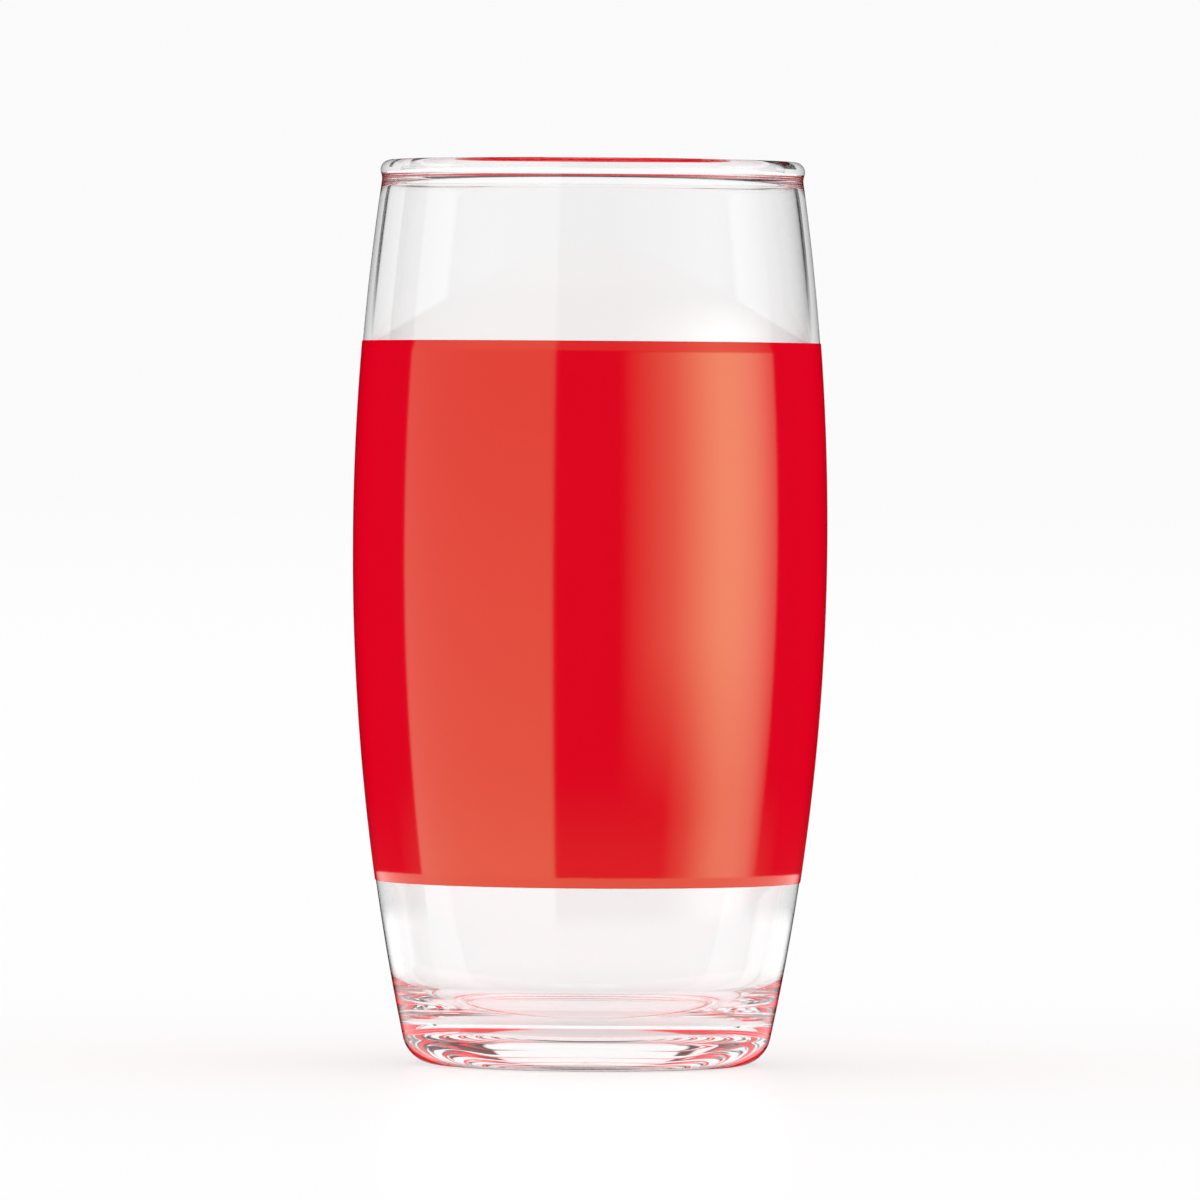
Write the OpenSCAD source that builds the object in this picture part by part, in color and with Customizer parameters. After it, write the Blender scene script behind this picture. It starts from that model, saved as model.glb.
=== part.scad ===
// Barrel-shaped drinking glass with a fused band of colour round its wall.
// The origin is the centre of the foot on the table, +Z points up and lengths are in millimetres.

/* [Outline of the glass] */
// Height from the table to the top of the rim
glass_h = 140; // [130:0.5:150]
// Outer diameter of the glass at its widest point
belly_d = 73.3; // [70:0.1:80]
// Height of the widest point above the table
belly_z = 81.2; // [72:0.1:90]
// Outer diameter of the rim
rim_d = 65.8; // [60:0.1:69]
// Diameter at which the line of the wall would reach the table
foot_d = 55.2; // [50:0.1:60]

/* [Rim] */
// Diameter of the fire-polished bead that runs round the rim
bead_d = 3.0; // [2.6:0.1:3.6]
// How far the bead stands out past the wall
bead_out = 0.25; // [0.1:0.05:0.4]
// Radius of the hollows where the bead runs into the wall
neck_fillet_r = 2.5; // [1:0.1:4]

/* [Wall] */
// Thickness of the wall just below the bead
wall_top = 1.4; // [1:0.1:2.4]
// Thickness of the wall at the widest point
wall_belly = 1.4; // [1:0.1:2.6]
// Thickness of the wall if its two lines ran down to the table
wall_foot = 2.2; // [1.2:0.1:3.2]

/* [Base] */
// Height of the middle of the inside floor above the table
floor_z = 4.2; // [3:0.1:8]
// Radius of the shallow dish in the middle of the floor
dish_r = 290; // [100:5:600]
// Radius of the hollow where the floor turns up into the wall
corner_r = 12; // [8:0.5:18]
// Radius of the rounded heel outside
heel_r = 5.2; // [3:0.1:7]
// Width of the flat ring on which the glass stands
ring_w = 1.6; // [1:0.1:4]
// Height of the flat hollow under the base
punt_h = 2.3; // [0.8:0.1:2.8]
// Width of the slope between the standing ring and the flat of the hollow
slope_w = 1.6; // [0.8:0.1:4]
// Radius of the edges at both ends of that slope
edge_r = 0.3; // [0.1:0.05:0.6]

/* [Band of colour] */
// Height of the band's lower edge above the table
band_low_z = 28.4; // [20:0.1:50]
// Height of the band's upper edge above the table
band_high_z = 112; // [95:0.1:125]
// Thickness of the colour on the wall
band_t = 0.17; // [0.1:0.01:0.4]

/* [Hidden] */

// Angle of each step round the revolved bodies
$fa = 2;
// Least length of such a step, short enough that the angle decides and wall and colour have the same steps
$fs = 0.5;
// Greatest length of one straight piece of a curved outline
step_l = 2.4;
// The same on the bead, the neck, the heel and the edges of the hollow
fine_step_l = 0.4;
// Fewest pieces that a curve is cut into
least_steps = 4;

belly_r = belly_d / 2;
bead_r = bead_d / 2;
foot_r = foot_d / 2;
neck_z = glass_h - bead_d;
neck_r = rim_d / 2 - bead_out;

// Radius of an arc that is upright at the belly and falls back by s over a height h.
// It is below zero where the wall leans out instead: the centre then lies outside the glass.
function arc_radius(h, s) = (h * h + s * s) / (2 * s);

// Where two circles cross, on the right hand of the way from the first centre to the second.
// On the left hand, if the first radius is below zero.
function crossing(c1, r1, c2, r2) =
    let (d = norm(c2 - c1))
    let (u = (c2 - c1) / d)
    let (a = (d * d + r1 * r1 - r2 * r2) / (2 * d))
    let (b = sign(r1) * sqrt(r1 * r1 - a * a))
    c1 + a * u + b * [u[1], -u[0]];

function bearing(from, to) = atan2(to[1] - from[1], to[0] - from[0]);

// Angle at which a wall arc passes a point: at(c, r, turn(c, r, p)) is the arc's nearest point to p.
function turn(c, r, p) = r > 0 ? bearing(c, p) : bearing(p, c);

function at(c, r, angle) = c + r * [cos(angle), sin(angle)];

// Points along an arc, without its first, so that arcs join end to end.
function arc(c, r, a1, a2, step) =
    let (n = max(least_steps, ceil(abs((a2 - a1) * PI / 180 * r / step))))
    [for (i = [1 : n]) at(c, r, a1 + (a2 - a1) * i / n)];

// Heights between two levels, without the first.
function levels(z1, z2) =
    let (n = max(least_steps, ceil(abs(z2 - z1) / step_l)))
    [for (i = [1 : n]) z1 + (z2 - z1) * i / n];

// Outer wall: one arc below the widest point and one above it.
out_low_r = arc_radius(belly_z, belly_r - foot_r);
out_high_r = arc_radius(neck_z - belly_z, belly_r - neck_r);
out_low_c = [belly_r - out_low_r, belly_z];
out_high_c = [belly_r - out_high_r, belly_z];

// Inner wall: the same, set in by the thicknesses.
in_belly_r = belly_r - wall_belly;
in_low_r = arc_radius(belly_z, in_belly_r - (foot_r - wall_foot));
in_high_r = arc_radius(neck_z - belly_z, in_belly_r - (neck_r - wall_top));
in_low_c = [in_belly_r - in_low_r, belly_z];
in_high_c = [in_belly_r - in_high_r, belly_z];

// Bead, and the hollow on each side that leads from it into the wall.
bead_c = [rim_d / 2 - bead_r, glass_h - bead_r];
out_neck_c = crossing(out_high_c, out_high_r + neck_fillet_r, bead_c, bead_r + neck_fillet_r);
in_neck_c = crossing(in_high_c, in_high_r - neck_fillet_r, bead_c, bead_r + neck_fillet_r);

// Heel: it touches the table and the outer wall, and the standing ring ends below its centre.
heel_reach = sqrt(pow(out_low_r - heel_r, 2) - pow(belly_z - heel_r, 2));
heel_c = [out_low_c[0] + sign(out_low_r) * heel_reach, heel_r];
ring_in_r = heel_c[0] - ring_w;

// Hollow under the base: flat, with a side that slopes down to the ring's inner edge.
punt_r = ring_in_r - slope_w;

// Floor: a dish, and the hollow corner that leads from it up into the inner wall.
dish_c = [0, floor_z + dish_r];
corner_c = crossing(in_low_c, in_low_r - corner_r, dish_c, dish_r - corner_r);

// Points of the outer wall at given heights, moved out by the thickness t.
function wall_line(heights, t) = [
    for (z = heights)
    let (r = z < belly_z ? out_low_r : out_high_r)
    [belly_r - r + sign(r) * sqrt(pow(r + t, 2) - pow(z - belly_z, 2)), z]
];

// The heights of the printed stretch, shared by the wall and the colour on it.
print_levels = concat(levels(band_low_z, belly_z), levels(belly_z, band_high_z));

// Rounding of an outline at b, where it turns from the way out of a to the way to c.
function rounded(a, b, c, r) =
    let (heading = bearing(a, b))
    let (bend = bearing(b, c) - heading)
    let (side = sign(bend) * 90)
    let (centre = at(b, r / cos(bend / 2), heading + bend / 2 + side))
    concat(
        [at(centre, r, heading - side)],
        arc(centre, r, heading - side, heading + bend - side, fine_step_l)
    );

// From the middle of the hollow under the base to the top of the heel.
function foot_outline() =
    let (middle = [0, punt_h])
    let (slope_top = [punt_r, punt_h])
    let (slope_foot = [ring_in_r, 0])
    let (ring_end = [heel_c[0], 0])
    concat(
        [middle],
        rounded(middle, slope_top, slope_foot, edge_r),
        rounded(slope_top, slope_foot, ring_end, edge_r),
        [ring_end],
        arc(heel_c, heel_r, -90, turn(out_low_c, out_low_r, heel_c), fine_step_l)
    );

// From the heel up the outside to the hollow below the bead.
function outer_outline() =
    let (heel_top = at(out_low_c, out_low_r, turn(out_low_c, out_low_r, heel_c)))
    let (neck_foot = at(out_high_c, out_high_r, turn(out_high_c, out_high_r, out_neck_c)))
    wall_line(concat(
        levels(heel_top[1], band_low_z),
        print_levels,
        levels(band_high_z, neck_foot[1])
    ), 0);

// Over the bead, with the hollow on each side of it.
function rim_outline() = concat(
    arc(out_neck_c, neck_fillet_r, turn(out_high_c, out_high_r, out_neck_c) + 180,
        bearing(out_neck_c, bead_c), fine_step_l),
    arc(bead_c, bead_r, bearing(bead_c, out_neck_c), 90, fine_step_l),
    arc(bead_c, bead_r, 90, bearing(bead_c, in_neck_c) + 360, fine_step_l),
    arc(in_neck_c, neck_fillet_r, bearing(in_neck_c, bead_c),
        turn(in_high_c, in_high_r, in_neck_c), fine_step_l)
);

// Down the inside to the middle of the floor.
function inner_outline() = concat(
    arc(in_high_c, in_high_r, turn(in_high_c, in_high_r, in_neck_c), 0, step_l),
    arc(in_low_c, in_low_r, 0, turn(in_low_c, in_low_r, corner_c), step_l),
    arc(corner_c, corner_r, turn(in_low_c, in_low_r, corner_c), bearing(dish_c, corner_c), step_l),
    arc(dish_c, dish_r, bearing(dish_c, corner_c), -90, step_l)
);

// Clear glass, made in one piece: wall, base, standing ring and rim.
module glass_tumbler() {
    color([0.86, 0.93, 0.95, 0.45])
    rotate_extrude()
    polygon(concat(foot_outline(), outer_outline(), rim_outline(), inner_outline()));
}

// Opaque colour fused on to the outside of the wall, equally thick all the way up.
module colour_band() {
    heights = concat([band_low_z], print_levels);
    inside = wall_line(heights, 0);
    color("#df001f")
    rotate_extrude()
    polygon(concat(wall_line(heights, band_t), [for (i = [len(inside) - 1 : -1 : 0]) inside[i]]));
}

glass_tumbler();
colour_band();
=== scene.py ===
"""A clear drinking glass with a fired band of red enamel, on a white studio floor.

Every length is in metres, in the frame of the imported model: the origin is the centre of the foot on the
table, +Z points up, and the camera looks along +Y.
"""

import math

import bpy
import numpy as np
from mathutils import Matrix


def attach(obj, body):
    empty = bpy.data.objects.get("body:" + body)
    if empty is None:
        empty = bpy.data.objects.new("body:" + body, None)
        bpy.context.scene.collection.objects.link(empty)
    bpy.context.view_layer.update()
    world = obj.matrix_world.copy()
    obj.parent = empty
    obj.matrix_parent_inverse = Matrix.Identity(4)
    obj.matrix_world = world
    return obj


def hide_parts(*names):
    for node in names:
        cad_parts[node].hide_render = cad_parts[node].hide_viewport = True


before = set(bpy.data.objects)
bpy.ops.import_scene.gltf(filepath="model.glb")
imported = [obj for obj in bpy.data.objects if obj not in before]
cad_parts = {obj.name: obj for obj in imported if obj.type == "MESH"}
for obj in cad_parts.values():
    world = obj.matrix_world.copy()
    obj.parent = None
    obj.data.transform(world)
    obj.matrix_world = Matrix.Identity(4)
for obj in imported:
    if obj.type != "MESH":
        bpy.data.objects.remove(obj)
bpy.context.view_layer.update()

MM = 0.001

# Outline of the glass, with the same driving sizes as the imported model
GLASS_H = 140 * MM
BELLY_R = 73.3 / 2 * MM
BELLY_Z = 81.2 * MM
RIM_R = 65.8 / 2 * MM
FOOT_R = 55.2 / 2 * MM
BEAD_R = 3.0 / 2 * MM
BEAD_OUT = 0.25 * MM
NECK_FILLET_R = 2.5 * MM
WALL_TOP = 1.4 * MM
WALL_BELLY = 1.4 * MM
WALL_FOOT = 2.2 * MM
FLOOR_Z = 4.2 * MM
DISH_R = 290 * MM
CORNER_R = 12 * MM
HEEL_R = 5.2 * MM
RING_W = 1.6 * MM
PUNT_H = 2.3 * MM
SLOPE_W = 1.6 * MM
EDGE_R = 0.3 * MM

# Band of enamel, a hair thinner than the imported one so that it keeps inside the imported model's box. Its seat
# reaches into the glass, so that no air shows between them.
BAND_LOW_Z = 28.4 * MM
BAND_HIGH_Z = 112 * MM
BAND_T = 0.15 * MM
BAND_EDGE_R = 0.07 * MM
BAND_SEAT = 0.03 * MM

# Width and height of the waves in the skin of the glass, and of the bumps in that of the enamel
WAVE_W = 16.7 * MM
WAVE_H = 0.1 * MM
PEEL_W = 1.1 * MM
PEEL_H = 0.02 * MM

# Fineness of the meshes: steps on the walls, on the small roundings and on the edges underneath
COLUMNS = 320
STEP = 1.8 * MM
FINE_STEP = 0.25 * MM
EDGE_STEP = 0.04 * MM
LEAST_STEPS = 4

# Painted glow of the enamel's face on the glass at the band's lower edge, an emission that stands in for the
# light that the base leads to it, and the share of it that is left at a height above the rim
PAINTED_BACK_GLOW = 0.75
LEAST_GLOW = 0.05
GLOW_TOP_Z = 160 * MM

# White table: its size, its brightness near the glass, the distances between which that turns into the
# backdrop's, its paint, and the share of it that glows and so shows no shadow
TABLE_R = 60
TABLE_T = 1 * MM
TABLE_COLUMNS = 128
NEAR_TABLE = 0.988
TURN_START = 3
TURN_END = 14
TABLE_PAINT = 0.97
GLOW_SHARE = 0.62

# Sheen of the table, up to the first distance and gone at the second
SHEEN = 0.1
SHEEN_START = 0.5
SHEEN_END = 3

# Brightness of the backdrop as the camera sees it, and as the glass lets it through
BACKDROP = 0.96
THROUGH_GLASS = 0.997

# Light that is left to rays which the glass turned back, and where that begins: a distance in front of the
# glass on the table, and a share of the way along +Y in a ray's direction
DIM_FRONT = 0.1
FRONT_Y = 0.03
FRONT_SHARE = 0.6

# How far the photograph's sight lines slope down where the wall is upright, and how much more for each unit
# that the mirrored direction sinks below them
VIEW_DROP = 0.0095
VIEW_SLOPE = 0.095

# Lights that the outer faces mirror. First come stops by compass angle, in degrees from the front and plus
# to the right, each with a level. Then come fades by the row on the wall: from a row to a row, and from a
# level to a level. The band of enamel lies between the rows -0.29 and 0.16.
LEFT_SOFTBOX = (
    [(-102.4, 0), (-101.6, 0.32), (-18.4, 0.32), (-17.6, 0)],
    [(-0.315, -0.3, 0.1, 1), (-0.29, 0.13, 5.1, 3), (0.165, 0.19, 1, 0.9)],
)
RIGHT_SOFTBOX = (
    [(15, 0), (32, 0.24), (42, 0.4), (58, 0.83), (67, 1), (77, 0.94), (88, 0.7), (99, 0.32), (103.2, 0.2),
     (104, 0)],
    [(-0.22, -0.08, 0, 4), (0.165, 0.19, 1, 0.3)],
)
RIGHT_SOFTBOX_FOOT = (
    [(40, 0), (53, 0.2), (62, 0.45), (72, 0.66), (83, 0.65), (94, 0.45), (103.2, 0.06), (104, 0)],
    [(-0.315, -0.3, 0.1, 1), (-0.22, -0.08, 4, 0)],
)
TABLE_HAZE = (
    [(-120, 0.05), (-102.4, 1), (104, 1), (120, 0.05)],
    [(-0.26, -0.2, 0.2, 0)],
)
HAZE_BELOW_BAND = (
    [(-165, 0), (-150, 1), (150, 1), (165, 0)],
    [(-0.315, -0.3, 1.3, 0)],
)
HAZE_ABOVE_BAND = (
    [(-100, 0), (-60, 1), (62, 1), (72, 0.7), (83, 0.4), (94, 0.15), (103.2, 0)],
    [(0.19, 0.21, 0, 0.35)],
)

# Dark gaps beside the backdrop, which the edges of the glass gather: stops by compass angle, the heights of
# a ray's direction between which they begin, and their brightness
DARK_GAPS = [(-156.8, 0), (-156.2, 1), (-151, 1), (-150, 0), (118, 0), (119, 1), (156.2, 1), (156.8, 0)]
GAP_FOOT = 0.04
GAP_FULL = 0.06
GAP_LEVEL = 0.04

# Photograph's viewpoint
CAMERA_DISTANCE = 1.98
CAMERA_Z = 100 * MM
CAMERA_X = 1.6 * MM
CAMERA_LENS = 383
CAMERA_SENSOR = 36
CAMERA_REACH = 100
CAMERA_PITCH = math.radians(0.81)
CAMERA_ROLL = math.radians(0.42)


def srgb(code):
    """Linear colour of an sRGB hex code: each channel goes through the standard decoding curve."""
    channels = np.array([int(code[i:i + 2], 16) for i in (1, 3, 5)]) / 255
    linear = np.where(channels <= 0.04045, channels / 12.92, ((channels + 0.055) / 1.055) ** 2.4)
    return (*linear.tolist(), 1.0)


WHITE = srgb("#FFFFFF")


def add(tree, kind, settings=(), links=()):
    """Adds a node.

    Settings name its properties or sockets. Links name the sockets that others feed, by an output or by a
    node, which stands for its first output.
    """
    new = tree.nodes.new(kind)
    for key, value in dict(settings).items():
        if isinstance(key, str) and hasattr(new, key):
            setattr(new, key, value)
        else:
            new.inputs[key].default_value = value
    for key, source in dict(links).items():
        output = source.outputs[0] if isinstance(source, bpy.types.Node) else source
        tree.links.new(output, new.inputs[key])
    return new


def new_material(name):
    """An empty node material and its tree."""
    material = bpy.data.materials.new(name)
    material.use_nodes = True
    material.node_tree.nodes.clear()
    return material, material.node_tree


def arc_radius(height, fall):
    """Radius of an arc that is upright at its widest point and falls back by a distance over a height."""
    return (height ** 2 + fall ** 2) / (2 * fall)


def crossing(c1, r1, c2, r2):
    """Where two circles cross, on the right hand of the way from the first centre to the second."""
    gap = np.subtract(c2, c1)
    distance = np.hypot(*gap)
    along = gap / distance
    near = (distance ** 2 + r1 ** 2 - r2 ** 2) / (2 * distance)
    aside = math.sqrt(r1 ** 2 - near ** 2)
    return c1 + near * along + aside * np.array([along[1], -along[0]])


def bearing(start, end):
    """Angle in radians of the way from one point of the outline to another."""
    return math.atan2(end[1] - start[1], end[0] - start[0])


def arc(centre, radius, start, end, step):
    """Points on an arc, centre + radius (cos a, sin a) for a from start to end, without the first."""
    count = max(LEAST_STEPS, math.ceil(abs(end - start) * radius / step))
    angles = start + (end - start) * np.arange(1, count + 1) / count
    return centre + radius * np.stack([np.cos(angles), np.sin(angles)], axis=1)


def rounded(start, bend, end, radius, step):
    """An arc that touches both straight lines in the place of their bend, with its first point."""
    heading = bearing(start, bend)
    turn = bearing(bend, end) - heading
    side = math.copysign(math.pi / 2, turn)
    away = heading + turn / 2 + side
    centre = bend + radius / math.cos(turn / 2) * np.array([math.cos(away), math.sin(away)])
    first = centre + radius * np.array([math.cos(heading - side), math.sin(heading - side)])
    return np.concatenate([[first], arc(centre, radius, heading - side, heading + turn - side, step)])


def close_rows(lines, gap):
    """The lines joined by straight stretches, each with a row close to both its ends.

    Smooth shading then bends only over those short gaps, and the long stretches stay straight to the eye.
    """
    joined = [lines[0]]
    for line in lines[1:]:
        start = joined[-1][-1]
        end = line[0]
        step = gap * (end - start) / np.hypot(*(end - start))
        joined += [np.array([start + step, end - step]), line]
    return np.concatenate(joined)


OUT_LOW_R = arc_radius(BELLY_Z, BELLY_R - FOOT_R)
OUT_HIGH_R = arc_radius(GLASS_H - 2 * BEAD_R - BELLY_Z, BELLY_R - RIM_R + BEAD_OUT)


def wall_radius(heights, out):
    """Radius of the outer wall, moved out by a distance: two arcs that meet upright at the widest point."""
    radius = np.where(heights < BELLY_Z, OUT_LOW_R, OUT_HIGH_R)
    return BELLY_R - radius + np.sqrt((radius + out) ** 2 - (heights - BELLY_Z) ** 2)


def glass_outline():
    """Section of the glass from the middle underneath, up the outside, over the rim and down to the floor.

    The outer wall is two arcs, the inner wall two more set in by the thicknesses, and circles that touch
    both neighbours make the heel, the bead with its two hollows, the inside corner and the dish. The hollow
    underneath is flat, with a straight slope down to the standing ring and a small rounding at both ends.
    """
    inner_r = BELLY_R - WALL_BELLY
    neck_z = GLASS_H - 2 * BEAD_R
    neck_r = RIM_R - BEAD_OUT
    in_low_r = arc_radius(BELLY_Z, inner_r - FOOT_R + WALL_FOOT)
    in_high_r = arc_radius(neck_z - BELLY_Z, inner_r - neck_r + WALL_TOP)
    out_low = np.array([BELLY_R - OUT_LOW_R, BELLY_Z])
    out_high = np.array([BELLY_R - OUT_HIGH_R, BELLY_Z])
    in_low = np.array([inner_r - in_low_r, BELLY_Z])
    in_high = np.array([inner_r - in_high_r, BELLY_Z])
    bead = np.array([RIM_R - BEAD_R, GLASS_H - BEAD_R])
    hollow = BEAD_R + NECK_FILLET_R
    out_neck = crossing(out_high, OUT_HIGH_R + NECK_FILLET_R, bead, hollow)
    in_neck = crossing(in_high, in_high_r - NECK_FILLET_R, bead, hollow)
    heel = np.array([out_low[0] + math.sqrt((OUT_LOW_R - HEEL_R) ** 2 - (BELLY_Z - HEEL_R) ** 2), HEEL_R])
    middle = np.array([0, PUNT_H])
    slope_foot = np.array([heel[0] - RING_W, 0])
    slope_top = slope_foot + [-SLOPE_W, PUNT_H]
    ring_end = np.array([heel[0], 0])
    dish = np.array([0, FLOOR_Z + DISH_R])
    corner = crossing(in_low, in_low_r - CORNER_R, dish, DISH_R - CORNER_R)
    up = math.pi / 2
    turn = 2 * math.pi
    outline = np.concatenate([
        close_rows([
            middle[None],
            rounded(middle, slope_top, slope_foot, EDGE_R, EDGE_STEP),
            rounded(slope_top, slope_foot, ring_end, EDGE_R, EDGE_STEP),
            ring_end[None],
        ], EDGE_STEP),
        arc(heel, HEEL_R, -up, bearing(out_low, heel), FINE_STEP),
        arc(out_low, OUT_LOW_R, bearing(out_low, heel), 0, STEP),
        arc(out_high, OUT_HIGH_R, 0, bearing(out_high, out_neck), STEP),
        arc(out_neck, NECK_FILLET_R, bearing(out_neck, out_high) + turn, bearing(out_neck, bead), FINE_STEP),
        arc(bead, BEAD_R, bearing(bead, out_neck), up, FINE_STEP),
        arc(bead, BEAD_R, up, bearing(bead, in_neck) + turn, FINE_STEP),
        arc(in_neck, NECK_FILLET_R, bearing(in_neck, bead), bearing(in_high, in_neck), FINE_STEP),
        arc(in_high, in_high_r, bearing(in_high, in_neck), 0, STEP),
        arc(in_low, in_low_r, 0, bearing(in_low, corner), STEP),
        arc(corner, CORNER_R, bearing(in_low, corner), bearing(dish, corner), 2 * FINE_STEP),
        arc(dish, DISH_R, bearing(dish, corner), -up, 2 * FINE_STEP),
    ])
    return np.maximum(outline, 0)


def band_outline():
    """Section of the enamel: the outer wall moved out by the thickness, with round edges, and its seat."""
    count = math.ceil((BAND_HIGH_Z - BAND_LOW_Z) / STEP)
    flat_h = BAND_HIGH_Z - BAND_LOW_Z - 2 * BAND_EDGE_R
    heights = BAND_LOW_Z + BAND_EDGE_R + flat_h * np.linspace(0, 1, count)
    face = np.stack([wall_radius(heights, BAND_T), heights], axis=1)
    back = np.stack([wall_radius(heights, -BAND_SEAT), heights], axis=1)
    quarter = np.linspace(0, math.pi / 2, LEAST_STEPS)
    fall = BAND_EDGE_R * (1 - np.cos(quarter))
    rise = BAND_EDGE_R * np.sin(quarter)
    top_z = BAND_HIGH_Z - BAND_EDGE_R + rise
    low_z = BAND_LOW_Z + BAND_EDGE_R - rise
    top = np.stack([wall_radius(top_z, BAND_T) - fall, top_z], axis=1)
    low = np.stack([wall_radius(low_z, BAND_T) - fall, low_z], axis=1)
    ends = np.array([BAND_HIGH_Z, BAND_LOW_Z])
    seat_top, seat_low = np.stack([wall_radius(ends, -BAND_SEAT), ends], axis=1)
    return np.concatenate([low[::-1], face[1:-1], top, [seat_top], back[::-1][1:-1], [seat_low]])


def revolve(name, outline, columns, closed):
    """Surface (r cos a, r sin a, z) of an outline (r, z) and an angle a, on a grid of rows and columns.

    A closed outline joins its last row to its first. An open one starts and ends on the axis, where a
    single point takes the place of the row.
    """
    rows = outline if closed else outline[1:-1]
    angles = 2 * np.pi * np.arange(columns) / columns
    ring = np.stack([np.cos(angles), np.sin(angles)], axis=1)
    flat = rows[:, None, :1] * ring[None]
    tall = np.broadcast_to(rows[:, None, 1:], (len(rows), columns, 1))
    points = np.concatenate([flat, tall], axis=2).reshape(-1, 3)
    row = np.arange(len(rows))[:, None] * columns
    here = np.arange(columns)[None]
    beside = (here + 1) % columns
    low = row if closed else row[:-1]
    high = np.roll(row, -1) if closed else row[1:]
    quads = np.stack([low + here, low + beside, high + beside, high + here], axis=2).reshape(-1, 4)
    faces = quads.tolist()
    if not closed:
        last = row[-1]
        first_pole = np.full(columns, len(points))
        last_pole = first_pole + 1
        points = np.concatenate([points, [[0, 0, outline[0, 1]], [0, 0, outline[-1, 1]]]])
        faces += np.stack([first_pole, beside[0], here[0]], axis=1).tolist()
        faces += np.stack([last + here[0], last + beside[0], last_pole], axis=1).tolist()
    mesh = bpy.data.meshes.new(name)
    mesh.from_pydata(points.tolist(), [], faces)
    mesh.polygons.foreach_set("use_smooth", np.ones(len(faces), bool))
    mesh.update()
    piece = bpy.data.objects.new(name, mesh)
    bpy.context.scene.collection.objects.link(piece)
    return piece


def mark_inner_faces(mesh):
    """Gives the second material to faces that look at the axis: normal and centre point opposite ways."""
    normals = np.empty(3 * len(mesh.polygons))
    centres = np.empty(3 * len(mesh.polygons))
    mesh.polygons.foreach_get("normal", normals)
    mesh.polygons.foreach_get("center", centres)
    facing = (normals * centres).reshape(-1, 3)[:, :2].sum(axis=1)
    mesh.polygons.foreach_set("material_index", (facing < 0).astype(np.int32))


def clear_soda_glass():
    """Clear soda-lime glass, blown in a mould and fire-polished: colourless, its skin in faint waves."""
    material, tree = new_material("clear_soda_glass")
    place = add(tree, "ShaderNodeTexCoord").outputs["Object"]
    waves = add(tree, "ShaderNodeTexNoise", {"Scale": 1 / WAVE_W, "Detail": 1}, {"Vector": place})
    skin = add(tree, "ShaderNodeBump", {"Strength": 0.02, "Distance": WAVE_H}, {"Height": waves})
    body = add(tree, "ShaderNodeBsdfPrincipled", {
        "Base Color": WHITE,
        "Roughness": 0,
        "IOR": 1.52,
        "Transmission Weight": 1,
    }, {"Normal": skin})
    depth = add(tree, "ShaderNodeVolumeAbsorption", {"Color": srgb("#E6F2F0"), "Density": 4})
    add(tree, "ShaderNodeOutputMaterial", (), {"Surface": body, "Volume": depth})
    return material


def enamel_back():
    """The enamel's face on the glass: no skin of its own, so a matt red, as seen through the wall.

    Its red is brighter than the outer face's, as painted light for what comes through the enamel.
    A painted glow of the same red, an emission standing in for the light that the base gathers and leads up
    to it, fades upwards. It doesn't show in what the clear wall mirrors only once.
    """
    material, tree = new_material("enamel_back")
    red = srgb("#FF2838")
    place = add(tree, "ShaderNodeTexCoord").outputs["Object"]
    height = add(tree, "ShaderNodeSeparateXYZ", (), {0: place}).outputs["Z"]
    # Strength of the painted glow: falls with height from the band's lower edge, nil in single mirror views
    fading = add(tree, "ShaderNodeMapRange", {
        "From Min": BAND_LOW_Z,
        "From Max": GLOW_TOP_Z,
        "To Min": PAINTED_BACK_GLOW,
        "To Max": PAINTED_BACK_GLOW * LEAST_GLOW,
    }, {"Value": height})
    turns = add(tree, "ShaderNodeLightPath").outputs["Glossy Depth"]
    once = add(tree, "ShaderNodeMath", {"operation": "COMPARE", 1: 1, 2: 0.5}, {0: turns})
    strength = add(tree, "ShaderNodeMapRange", {"To Max": 0}, {"Value": once, "To Min": fading})
    # Painted light: a red brighter than the outer face's, under a painted glow of the same red
    body = add(tree, "ShaderNodeBsdfDiffuse", {"Color": red})
    glow = add(tree, "ShaderNodeEmission", {"Color": red}, {"Strength": strength})
    both = add(tree, "ShaderNodeAddShader", (), {0: body, 1: glow})
    add(tree, "ShaderNodeOutputMaterial", (), {"Surface": both})
    return material


def red_enamel():
    """Opaque red glass enamel, screen printed and fired: even colour, glossy, with a fine orange-peel skin.

    Where the skin is seen at a slant its red is brightened as painted light, so that the print looks even to
    its edge.
    """
    material, tree = new_material("red_enamel")
    place = add(tree, "ShaderNodeTexCoord").outputs["Object"]
    peel = add(tree, "ShaderNodeTexNoise", {"Scale": 1 / PEEL_W, "Detail": 2}, {"Vector": place})
    skin = add(tree, "ShaderNodeBump", {"Strength": 0.1, "Distance": PEEL_H}, {"Height": peel})
    # Painted light: up to 1.75 times the red where the skin is seen at a slant
    facing = add(tree, "ShaderNodeLayerWeight", {"Blend": 0.5}).outputs["Facing"]
    slant = add(tree, "ShaderNodeMath", {"operation": "POWER", 1: 3}, {0: facing})
    painted_slant_light = add(tree, "ShaderNodeMapRange", {"To Min": 1, "To Max": 1.75}, {"Value": slant})
    red = add(tree, "ShaderNodeVectorMath", {"operation": "SCALE", 0: srgb("#E3001F")[:3]}, {"Scale": painted_slant_light})
    body = add(tree, "ShaderNodeBsdfPrincipled", {
        "Roughness": 0.08,
        "IOR": 1.65,
        "Specular Tint": srgb("#CEFFB8"),
    }, {"Base Color": red, "Normal": skin})
    add(tree, "ShaderNodeOutputMaterial", (), {"Surface": body})
    return material


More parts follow.
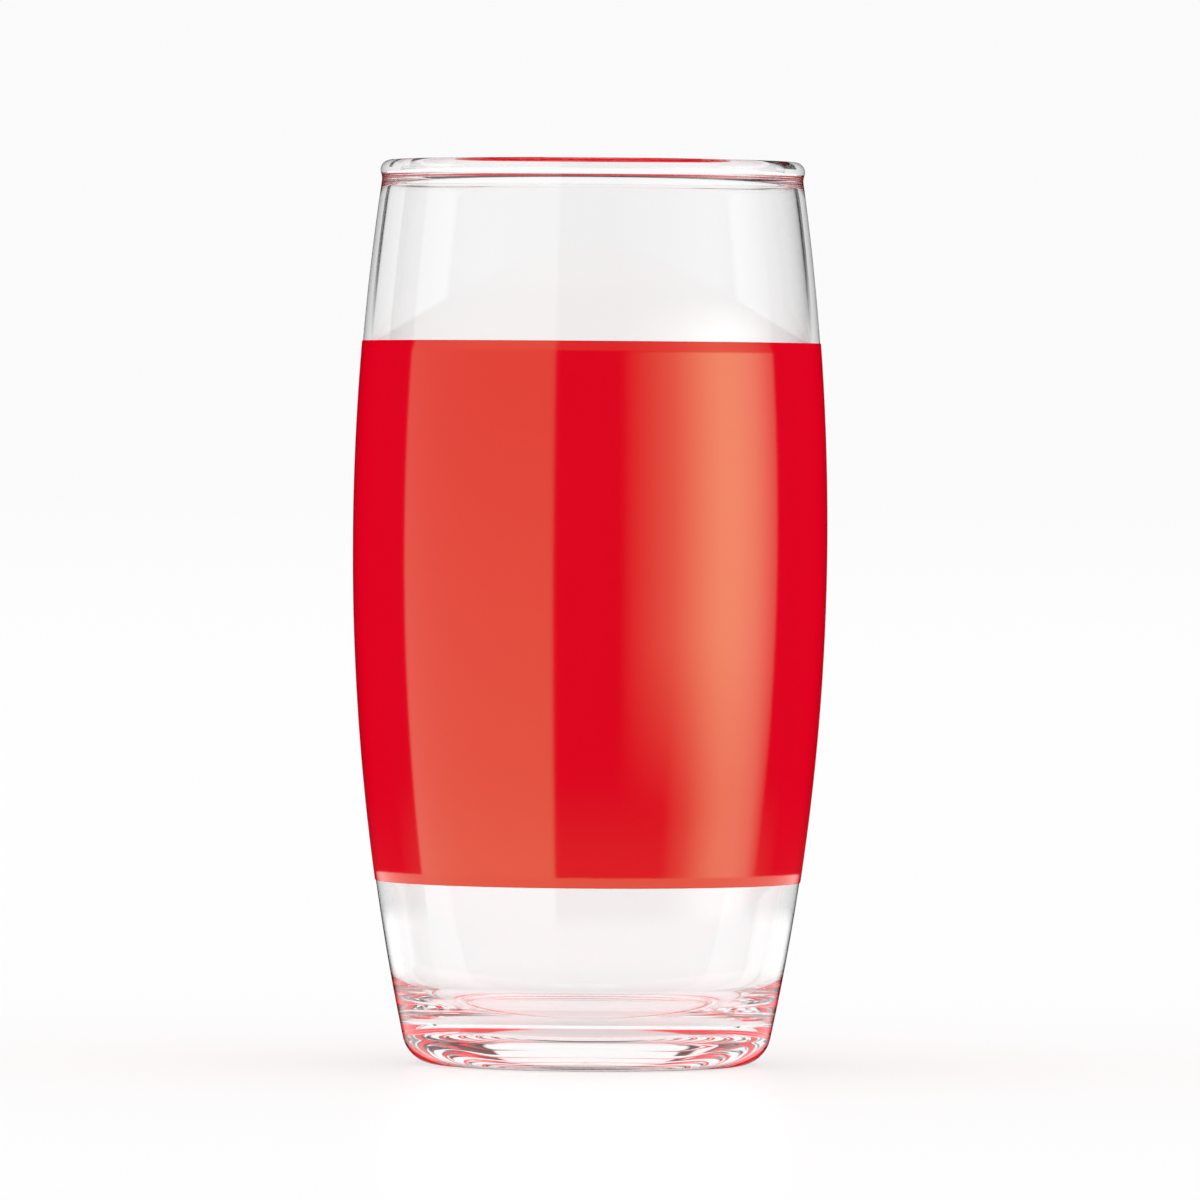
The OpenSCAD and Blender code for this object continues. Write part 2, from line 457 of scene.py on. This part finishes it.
def left_in_front(tree, along, start):
    """Share of the light that rays find.

    It is DIM_FRONT for those that glass turned back and that lie short of a start along +Y, else all.
    """
    turns = add(tree, "ShaderNodeLightPath").outputs["Glossy Depth"]
    turned_back = add(tree, "ShaderNodeMath", {"operation": "GREATER_THAN", 1: 0.5}, {0: turns})
    ahead = add(tree, "ShaderNodeMath", {"operation": "LESS_THAN", 1: start}, {0: along})
    both = add(tree, "ShaderNodeMath", {"operation": "MULTIPLY"}, {0: ahead, 1: turned_back})
    return add(tree, "ShaderNodeMapRange", {"To Min": 1, "To Max": DIM_FRONT}, {"Value": both})


def set_stops(node, stops):
    """Gives a colour ramp over a full turn its stops: compass angles in degrees, with levels up to one."""
    elements = node.color_ramp.elements
    for place, (angle, level) in enumerate(stops):
        share = angle / 360 + 0.5
        if place == 0:
            stop = elements[0]
        elif place == len(stops) - 1:
            stop = elements[-1]
        else:
            stop = elements.new(share)
        stop.position = share
        stop.color = (level, level, level, 1)


def mirrored_level(tree, share, row):
    """Brightness that the outer faces mirror: the sum of the lights, each its ramp times its fades."""
    lights = []
    for stops, fades in (
        LEFT_SOFTBOX, RIGHT_SOFTBOX, RIGHT_SOFTBOX_FOOT, TABLE_HAZE, HAZE_BELOW_BAND, HAZE_ABOVE_BAND,
    ):
        light = add(tree, "ShaderNodeValToRGB", (), {0: share})
        set_stops(light, stops)
        for low, high, at_low, at_high in fades:
            fade = add(tree, "ShaderNodeMapRange", {
                "From Min": low, "From Max": high, "To Min": at_low, "To Max": at_high,
            }, {"Value": row})
            light = add(tree, "ShaderNodeMath", {"operation": "MULTIPLY"}, {0: light, 1: fade})
        lights.append(light)
    level = lights[0]
    for light in lights[1:]:
        level = add(tree, "ShaderNodeMath", {"operation": "ADD"}, {0: level, 1: light})
    return level


def studio_world():
    """Plain white surroundings, which reflections see as a dark studio with a softbox on each side.

    Camera rays see the pale backdrop. Refracted rays see it too, with a dark gap on each side above the
    table, and little light in front if the glass turned them back. Diffuse rays see an even light of
    strength 1. Reflected rays see the softboxes and a haze off the table, placed by compass angle and by the
    row on the wall that sends a ray there. The row is twice the wall's lean: the direction's height, less
    that of the sight line, over the cosine of half its compass angle.
    """
    world = bpy.data.worlds.new("studio")
    world.use_nodes = True
    world.cycles.sampling_method = "NONE"
    bpy.context.scene.world = world
    tree = world.node_tree
    tree.nodes.clear()
    way = add(tree, "ShaderNodeTexCoord").outputs["Generated"]
    split = add(tree, "ShaderNodeSeparateXYZ", (), {0: way})
    right, along, height = split.outputs

    behind = add(tree, "ShaderNodeMath", {"operation": "MULTIPLY", 1: -1}, {0: along})
    compass = add(tree, "ShaderNodeMath", {"operation": "ARCTAN2"}, {0: right, 1: behind})
    share = add(tree, "ShaderNodeMapRange", {"From Min": -math.pi, "From Max": math.pi}, {"Value": compass})
    half = add(tree, "ShaderNodeMath", {"operation": "MULTIPLY", 1: 0.5}, {0: compass})
    facing = add(tree, "ShaderNodeMath", {"operation": "COSINE"}, {0: half})
    slope = add(tree, "ShaderNodeMath", {"operation": "ADD", 1: VIEW_SLOPE}, {0: facing})
    above_sight = add(tree, "ShaderNodeMath", {"operation": "ADD", 1: VIEW_DROP}, {0: height})
    row = add(tree, "ShaderNodeMath", {"operation": "DIVIDE"}, {0: above_sight, 1: slope})
    level = mirrored_level(tree, share, row)
    mirrored = add(tree, "ShaderNodeBackground", {"Color": WHITE}, {"Strength": level})

    gaps = add(tree, "ShaderNodeValToRGB", (), {0: share})
    set_stops(gaps, DARK_GAPS)
    above = add(tree, "ShaderNodeMapRange", {"From Min": GAP_FOOT, "From Max": GAP_FULL}, {"Value": height})
    dark = add(tree, "ShaderNodeMath", {"operation": "MULTIPLY"}, {0: gaps, 1: above})
    seen = add(tree, "ShaderNodeMapRange", {"To Min": THROUGH_GLASS, "To Max": GAP_LEVEL}, {"Value": dark})
    left = add(tree, "ShaderNodeMath", {"operation": "MULTIPLY"}, {
        0: seen, 1: left_in_front(tree, along, FRONT_SHARE),
    })
    through = add(tree, "ShaderNodeBackground", {"Color": WHITE}, {"Strength": left})

    backdrop = add(tree, "ShaderNodeBackground", {"Color": WHITE, "Strength": BACKDROP})
    shader = add(tree, "ShaderNodeBackground", {"Color": WHITE, "Strength": 1})
    rays = add(tree, "ShaderNodeLightPath")
    for ray, surroundings in (
        ("Is Glossy Ray", mirrored), ("Is Transmission Ray", through), ("Is Camera Ray", backdrop),
    ):
        shader = add(tree, "ShaderNodeMixShader", (), {0: rays.outputs[ray], 1: shader, 2: surroundings})
    add(tree, "ShaderNodeOutputWorld", (), {"Surface": shader})


def white_table():
    """A wide white table: mostly even white, part of it lit so that it keeps the shadow, with a faint sheen.

    Its brightness falls from NEAR_TABLE round the glass to the backdrop's far away, so no horizon shows.
    """
    material, tree = new_material("white_sweep")
    place = add(tree, "ShaderNodeTexCoord").outputs["Object"]
    away = add(tree, "ShaderNodeVectorMath", {"operation": "LENGTH"}, {0: place}).outputs["Value"]
    along = add(tree, "ShaderNodeSeparateXYZ", (), {0: place}).outputs["Y"]
    # Painted shade: in front of the glass the table's paint and glow are dimmed for rays that the glass turned
    # back
    left = left_in_front(tree, along, -FRONT_Y)
    white_with_painted_shade = add(tree, "ShaderNodeMath", {"operation": "MULTIPLY", 1: TABLE_PAINT}, {0: left})
    paint = add(tree, "ShaderNodeBsdfDiffuse", (), {"Color": white_with_painted_shade})

    painted = (1 - GLOW_SHARE) * TABLE_PAINT
    light = add(tree, "ShaderNodeMapRange", {
        "From Min": TURN_START,
        "From Max": TURN_END,
        "To Min": (NEAR_TABLE - painted) / GLOW_SHARE,
        "To Max": (BACKDROP - painted) / GLOW_SHARE,
    }, {"Value": away})
    strength = add(tree, "ShaderNodeMath", {"operation": "MULTIPLY"}, {0: light, 1: left})
    glow = add(tree, "ShaderNodeEmission", {"Color": WHITE}, {"Strength": strength})
    rays = add(tree, "ShaderNodeLightPath").outputs
    seen = add(tree, "ShaderNodeMath", {"operation": "MAXIMUM"}, {
        0: rays["Is Camera Ray"], 1: rays["Is Transmission Ray"],
    })
    part = add(tree, "ShaderNodeMapRange", {"To Max": GLOW_SHARE}, {"Value": seen})
    mix = add(tree, "ShaderNodeMixShader", (), {0: part, 1: paint, 2: glow})

    gloss = add(tree, "ShaderNodeMapRange", {
        "From Min": SHEEN_START, "From Max": SHEEN_END, "To Min": SHEEN, "To Max": 0,
    }, {"Value": away})
    sheen = add(tree, "ShaderNodeBsdfGlossy", {"Roughness": 0.2}, {"Color": gloss})
    surface = add(tree, "ShaderNodeAddShader", (), {0: mix, 1: sheen})
    add(tree, "ShaderNodeOutputMaterial", (), {"Surface": surface})
    material.cycles.emission_sampling = "NONE"

    outline = np.array([[0, -TABLE_T], [TABLE_R, 0], [0, 0]])
    table = revolve("floor", outline, TABLE_COLUMNS, False)
    table.data.shade_flat()
    table.data.materials.append(material)
    table.visible_glossy = False


def photo_camera():
    """A long lens at the photograph's height and distance, looking along +Y, turned a little on its axis."""
    data = bpy.data.cameras.new("camera")
    data.lens = CAMERA_LENS
    data.sensor_width = CAMERA_SENSOR
    data.clip_end = CAMERA_REACH
    camera = bpy.data.objects.new("camera", data)
    turn = Matrix.Rotation(math.pi / 2 - CAMERA_PITCH, 4, "X") @ Matrix.Rotation(CAMERA_ROLL, 4, "Z")
    camera.matrix_world = Matrix.Translation((CAMERA_X, -CAMERA_DISTANCE, CAMERA_Z)) @ turn
    bpy.context.scene.collection.objects.link(camera)
    bpy.context.scene.camera = camera


glass = revolve("glass_body", glass_outline(), COLUMNS, False)
glass.data.materials.append(clear_soda_glass())
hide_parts("glass_tumbler")
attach(glass, "root")

band = revolve("enamel_band", band_outline(), COLUMNS, True)
band.data.materials.append(red_enamel())
band.data.materials.append(enamel_back())
mark_inner_faces(band.data)
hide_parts("colour_band")
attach(band, "root")

studio_world()
white_table()
photo_camera()

scene = bpy.context.scene
scene.view_settings.view_transform = "Standard"

# Light takes many turns in the wall and the base
scene.cycles.max_bounces = 32
scene.cycles.transmission_bounces = 32
scene.cycles.glossy_bounces = 16
scene.cycles.diffuse_bounces = 4
